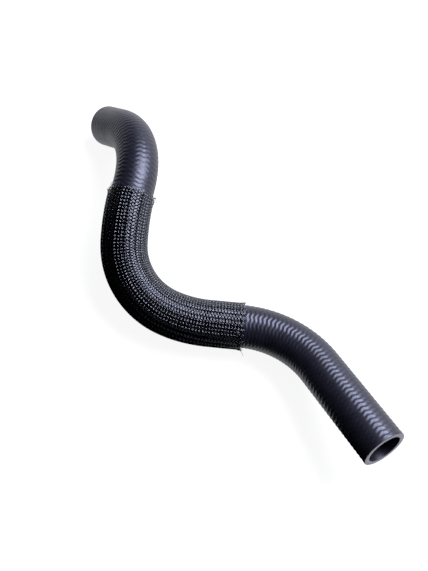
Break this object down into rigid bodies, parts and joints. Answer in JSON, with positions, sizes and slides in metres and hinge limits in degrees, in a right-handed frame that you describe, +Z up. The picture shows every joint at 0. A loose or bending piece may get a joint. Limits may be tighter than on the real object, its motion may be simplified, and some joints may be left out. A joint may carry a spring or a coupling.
{
  "type": "radiator inlet hose with braided sleeve",
  "caption": "Moulded rubber coolant hose bent in space, ridged by its knitted cord, with a loose black braided sleeve over its middle and square-cut open ends.",
  "frame": {"origin": "middle of the bounding box, on the floor that the hose lies on", "axes": "+X along the longest side of the bounding box, towards the end that faces up out of the floor; +Z up"},
  "size_m": [0.4558, 0.1336, 0.088],
  "materials": {
    "rubber": "satin",
    "braid": "satin"
  },
  "bodies": {
    "root": {"hose": "rubber", "braided_sleeve": "braid"}
  },
  "joints": []
}
